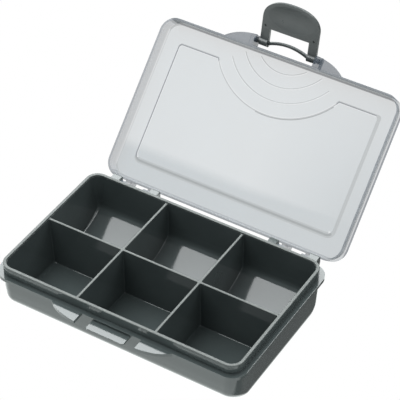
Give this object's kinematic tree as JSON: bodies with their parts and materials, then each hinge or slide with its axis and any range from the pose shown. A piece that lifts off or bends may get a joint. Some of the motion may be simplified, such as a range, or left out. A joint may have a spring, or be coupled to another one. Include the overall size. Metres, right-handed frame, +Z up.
{
  "type": "tackle accessory box",
  "caption": "Small hinged tackle accessory box with scooped tray compartments, a clear lid thrown open and a D-shaped snap latch.",
  "frame": {"origin": "centre of the tray's flat underside", "axes": "+X to the right along the hinge line, +Y from the latch side to the hinge side, +Z up from the surface it stands on"},
  "size_m": [0.1088, 0.1379, 0.0833],
  "materials": {
    "tray_plastic": "dark grey moulded plastic, smooth satin gloss",
    "clear_plastic": "clear moulded plastic, polished",
    "latch_plastic": "dark grey moulded plastic, satin"
  },
  "bodies": {
    "body": {"base_tray": "tray_plastic"},
    "lid_body": {"lid": "clear_plastic"},
    "latch_body": {"latch": "latch_plastic"}
  },
  "joints": [
    {"name": "lid_hinge", "type": "hinge", "parent": "body", "child": "lid_body", "pos_m": [0, 0.03681, 0.01707], "axis": [1, 0, 0], "range_deg": [0, 135.1]},
    {"name": "latch_pivot", "type": "hinge", "parent": "lid_body", "child": "latch_body", "pos_m": [0, 0.09432, 0.06424], "axis": [1, 0, 0], "range_deg": [-54.4, 55.6]}
  ]
}
